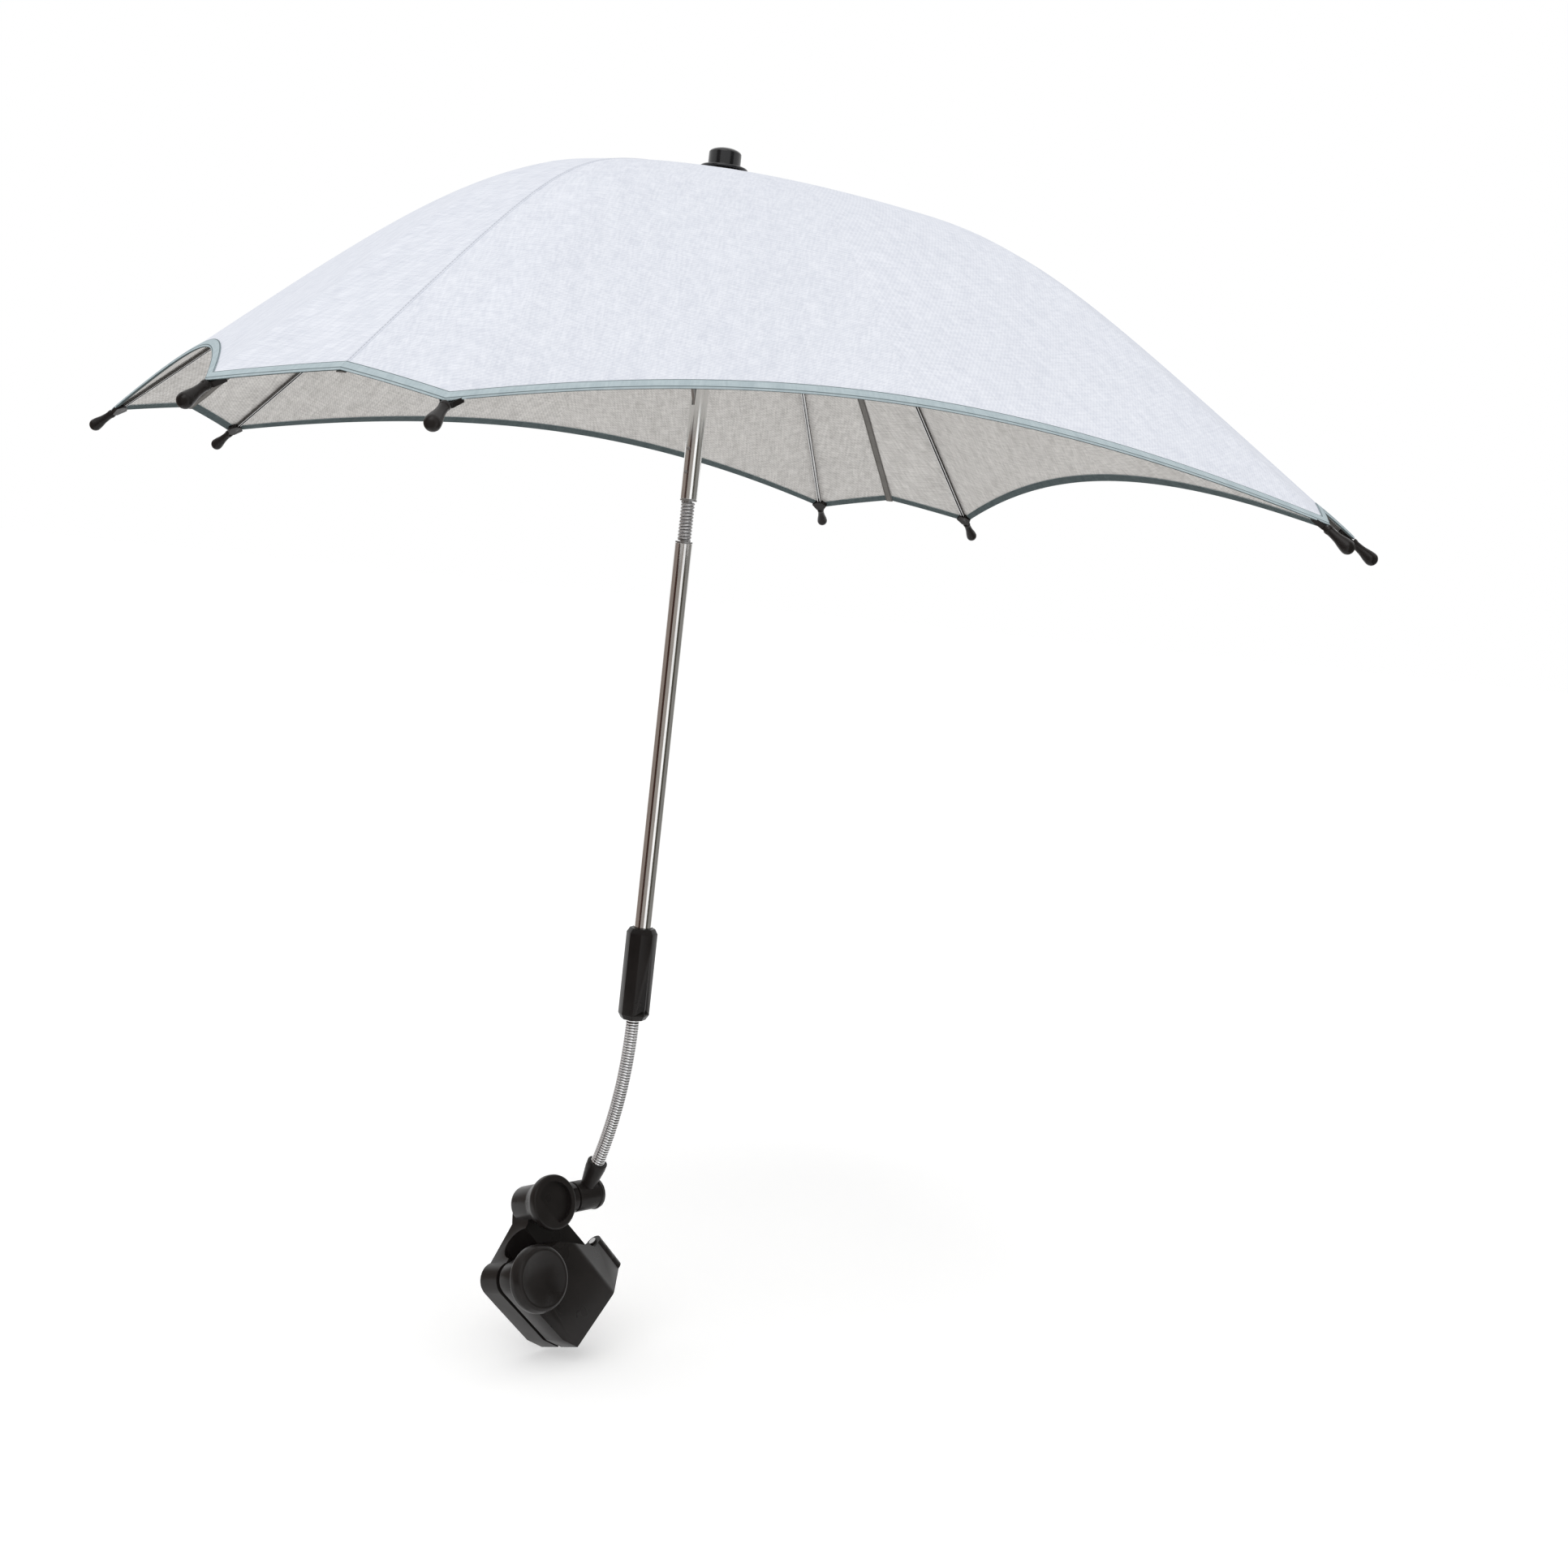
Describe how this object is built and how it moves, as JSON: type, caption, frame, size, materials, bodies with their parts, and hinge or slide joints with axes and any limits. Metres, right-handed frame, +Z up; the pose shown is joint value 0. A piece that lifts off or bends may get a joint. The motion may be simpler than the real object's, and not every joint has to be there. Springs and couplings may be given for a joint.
{
  "type": "wheelchair parasol",
  "caption": "Square folding parasol that clamps to a wheelchair frame tube, with a bendable neck, a two-piece pole with a tilt joint, and a canopy on paired ribs.",
  "frame": {"origin": "middle of the clamp's seat, on the axis of the frame tube that it holds", "axes": "+Z up the pole; the frame tube runs in the X-Z plane; the clamp knob faces -Y and a little +X"},
  "size_m": [0.8428, 0.8428, 0.9563],
  "materials": {
    "black_plastic": "fine matt texture",
    "gloss_black": "polished",
    "liner_rubber": "matt",
    "chrome_tube": "polished chrome plate",
    "spring_steel": "satin",
    "steel_fitting": "zinc plated",
    "rib_steel": "dark enamel",
    "canopy_cloth": "fine twill, coated",
    "binding_cloth": "plain woven tape",
    "seam_cloth": "plain woven tape"
  },
  "bodies": {
    "clamp": {"clamp_body": "black_plastic", "rear_liner": "liner_rubber", "hinge_pin": "steel_fitting", "clamp_nut": "steel_fitting", "pivot_bolt": "steel_fitting", "pivot_washer": "steel_fitting"},
    "jaw": {"clamp_jaw": "black_plastic", "front_liner": "liner_rubber"},
    "screw_washer": {"thrust_washer": "steel_fitting"},
    "knob": {"clamp_knob": "black_plastic", "knob_stud": "steel_fitting"},
    "swivel_head": {"knuckle": "black_plastic", "neck": "spring_steel"},
    "sleeve": {"grip_sleeve": "black_plastic", "sleeve_screw": "steel_fitting"},
    "lower_pole": {"lower_tube": "chrome_tube", "lower_plug": "steel_fitting", "tilt_spring": "spring_steel"},
    "upper_pole": {"upper_tube": "chrome_tube", "upper_plug": "steel_fitting", "catch_rivet_upper": "steel_fitting", "catch_rivet_lower": "steel_fitting", "rib_hub": "black_plastic", "hub_wire": "steel_fitting", "crown_washer": "black_plastic", "crown_cap": "gloss_black", "canopy": "canopy_cloth", "hem_binding": "binding_cloth", "seam_tape_1": "seam_cloth", "seam_tape_2": "seam_cloth", "seam_tape_3": "seam_cloth", "seam_tape_4": "seam_cloth"},
    "catch": {"runner_catch": "steel_fitting"},
    "runner": {"runner": "black_plastic", "runner_wire": "steel_fitting"},
    "rib_1": {"rib_1": "rib_steel", "rib_tip_1": "black_plastic"},
    "stretcher_1": {"stretcher_1": "rib_steel"},
    "rib_2": {"rib_2": "rib_steel", "rib_tip_2": "black_plastic"},
    "stretcher_2": {"stretcher_2": "rib_steel"},
    "rib_3": {"rib_3": "rib_steel", "rib_tip_3": "black_plastic"},
    "stretcher_3": {"stretcher_3": "rib_steel"},
    "rib_4": {"rib_4": "rib_steel", "rib_tip_4": "black_plastic"},
    "stretcher_4": {"stretcher_4": "rib_steel"},
    "rib_5": {"rib_5": "rib_steel", "rib_tip_5": "black_plastic"},
    "stretcher_5": {"stretcher_5": "rib_steel"},
    "rib_6": {"rib_6": "rib_steel", "rib_tip_6": "black_plastic"},
    "stretcher_6": {"stretcher_6": "rib_steel"},
    "rib_7": {"rib_7": "rib_steel", "rib_tip_7": "black_plastic"},
    "stretcher_7": {"stretcher_7": "rib_steel"},
    "rib_8": {"rib_8": "rib_steel", "rib_tip_8": "black_plastic"},
    "stretcher_8": {"stretcher_8": "rib_steel"}
  },
  "joints": [
    {"name": "knob_turn", "type": "hinge", "parent": "screw_washer", "child": "knob", "pos_m": [-0.03238, -0.03181, 0.02075], "axis": [0.3745, -0.866, 0.3313], "range_deg": [0, 1080]},
    {"name": "screw_travel", "type": "slide", "parent": "clamp", "child": "screw_washer", "axis": [0.3745, -0.866, 0.3313], "range_m": [0, 0.00375]},
    {"name": "jaw_swing", "type": "hinge", "parent": "clamp", "child": "jaw", "pos_m": [0.03794, 0.027, 0.02769], "axis": [-0.6626, 0, 0.749], "range_deg": [0, 2.2]},
    {"name": "head_swivel", "type": "hinge", "parent": "clamp", "child": "swivel_head", "pos_m": [0.02753, 0.03236, 0.06615], "axis": [0.9179, 0.3969, 0], "range_deg": [-30, 30]},
    {"name": "neck_bend", "type": "hinge", "parent": "swivel_head", "child": "sleeve", "pos_m": [0.03936, 0.00501, 0.15931], "axis": [0.9179, 0.3969, 0], "range_deg": [-30, 30], "deforming": ["neck"]},
    {"name": "pole_swivel", "type": "hinge", "parent": "sleeve", "child": "lower_pole", "pos_m": [0.0417, -0.00041, 0.22295], "axis": [0, 0, 1], "range_deg": [-180, 180]},
    {"name": "canopy_tilt", "type": "hinge", "parent": "lower_pole", "child": "upper_pole", "pos_m": [0.0417, -0.00041, 0.6203], "axis": [0, 1, 0], "range_deg": [-40, 0], "deforming": ["tilt_spring"]},
    {"name": "catch_press", "type": "hinge", "parent": "upper_pole", "child": "catch", "pos_m": [0.03703, -0.00311, 0.65395], "axis": [-0.5, 0.866, 0], "range_deg": [0, 2.4], "stiffness_Nm_per_rad": 6},
    {"name": "runner_travel", "type": "slide", "parent": "upper_pole", "child": "runner", "axis": [0, 0, -1], "range_m": [0, 0.33807], "deforming": ["canopy", "hem_binding", "seam_tape_1", "seam_tape_2", "seam_tape_3", "seam_tape_4", "runner_catch"]},
    {"name": "rib_1_fold", "type": "hinge", "parent": "upper_pole", "child": "rib_1", "pos_m": [0.05141, 0.00665, 0.87925], "axis": [-0.5884, 0.8086, 0], "range_deg": [0, 63.23]},
    {"name": "stretcher_1_fold", "type": "hinge", "parent": "rib_1", "child": "stretcher_1", "pos_m": [0.23434, 0.13975, 0.83048], "axis": [-0.5884, 0.8086, 0], "range_deg": [-122.8, 0]},
    {"name": "rib_2_fold", "type": "hinge", "parent": "upper_pole", "child": "rib_2", "pos_m": [0.04877, 0.00929, 0.87925], "axis": [-0.8086, 0.5884, 0], "range_deg": [0, 63.23]},
    {"name": "stretcher_2_fold", "type": "hinge", "parent": "rib_2", "child": "stretcher_2", "pos_m": [0.18187, 0.19223, 0.83048], "axis": [-0.8086, 0.5884, 0], "range_deg": [-122.8, 0]},
    {"name": "rib_3_fold", "type": "hinge", "parent": "upper_pole", "child": "rib_3", "pos_m": [0.03465, 0.00929, 0.87925], "axis": [-0.8086, -0.5884, 0], "range_deg": [0, 63.23]},
    {"name": "stretcher_3_fold", "type": "hinge", "parent": "rib_3", "child": "stretcher_3", "pos_m": [-0.09846, 0.19223, 0.83048], "axis": [-0.8086, -0.5884, 0], "range_deg": [-122.8, 0]},
    {"name": "rib_4_fold", "type": "hinge", "parent": "upper_pole", "child": "rib_4", "pos_m": [0.032, 0.00665, 0.87925], "axis": [-0.5884, -0.8086, 0], "range_deg": [0, 63.23]},
    {"name": "stretcher_4_fold", "type": "hinge", "parent": "rib_4", "child": "stretcher_4", "pos_m": [-0.15093, 0.13975, 0.83048], "axis": [-0.5884, -0.8086, 0], "range_deg": [-122.8, 0]},
    {"name": "rib_5_fold", "type": "hinge", "parent": "upper_pole", "child": "rib_5", "pos_m": [0.032, -0.00747, 0.87925], "axis": [0.5884, -0.8086, 0], "range_deg": [0, 63.23]},
    {"name": "stretcher_5_fold", "type": "hinge", "parent": "rib_5", "child": "stretcher_5", "pos_m": [-0.15093, -0.14058, 0.83048], "axis": [0.5884, -0.8086, 0], "range_deg": [-122.8, 0]},
    {"name": "rib_6_fold", "type": "hinge", "parent": "upper_pole", "child": "rib_6", "pos_m": [0.03465, -0.01012, 0.87925], "axis": [0.8086, -0.5884, 0], "range_deg": [0, 63.23]},
    {"name": "stretcher_6_fold", "type": "hinge", "parent": "rib_6", "child": "stretcher_6", "pos_m": [-0.09846, -0.19305, 0.83048], "axis": [0.8086, -0.5884, 0], "range_deg": [-122.8, 0]},
    {"name": "rib_7_fold", "type": "hinge", "parent": "upper_pole", "child": "rib_7", "pos_m": [0.04877, -0.01012, 0.87925], "axis": [0.8086, 0.5884, 0], "range_deg": [0, 63.23]},
    {"name": "stretcher_7_fold", "type": "hinge", "parent": "rib_7", "child": "stretcher_7", "pos_m": [0.18187, -0.19305, 0.83048], "axis": [0.8086, 0.5884, 0], "range_deg": [-122.8, 0]},
    {"name": "rib_8_fold", "type": "hinge", "parent": "upper_pole", "child": "rib_8", "pos_m": [0.05141, -0.00747, 0.87925], "axis": [0.5884, 0.8086, 0], "range_deg": [0, 63.23]},
    {"name": "stretcher_8_fold", "type": "hinge", "parent": "rib_8", "child": "stretcher_8", "pos_m": [0.23434, -0.14058, 0.83048], "axis": [0.5884, 0.8086, 0], "range_deg": [-122.8, 0]}
  ],
  "couplings": [
    {"joint": "knob_turn", "follows": "screw_travel", "rad_per_m": 5026.5},
    {"joint": "jaw_swing", "follows": "screw_travel", "rad_per_m": 10.239},
    {"joint": "rib_1_fold", "follows": "runner_travel", "rad_per_m": 3.2645},
    {"joint": "stretcher_1_fold", "follows": "runner_travel", "rad_per_m": -6.3399},
    {"joint": "rib_2_fold", "follows": "runner_travel", "rad_per_m": 3.2645},
    {"joint": "stretcher_2_fold", "follows": "runner_travel", "rad_per_m": -6.3399},
    {"joint": "rib_3_fold", "follows": "runner_travel", "rad_per_m": 3.2645},
    {"joint": "stretcher_3_fold", "follows": "runner_travel", "rad_per_m": -6.3399},
    {"joint": "rib_4_fold", "follows": "runner_travel", "rad_per_m": 3.2645},
    {"joint": "stretcher_4_fold", "follows": "runner_travel", "rad_per_m": -6.3399},
    {"joint": "rib_5_fold", "follows": "runner_travel", "rad_per_m": 3.2645},
    {"joint": "stretcher_5_fold", "follows": "runner_travel", "rad_per_m": -6.3399},
    {"joint": "rib_6_fold", "follows": "runner_travel", "rad_per_m": 3.2645},
    {"joint": "stretcher_6_fold", "follows": "runner_travel", "rad_per_m": -6.3399},
    {"joint": "rib_7_fold", "follows": "runner_travel", "rad_per_m": 3.2645},
    {"joint": "stretcher_7_fold", "follows": "runner_travel", "rad_per_m": -6.3399},
    {"joint": "rib_8_fold", "follows": "runner_travel", "rad_per_m": 3.2645},
    {"joint": "stretcher_8_fold", "follows": "runner_travel", "rad_per_m": -6.3399}
  ]
}
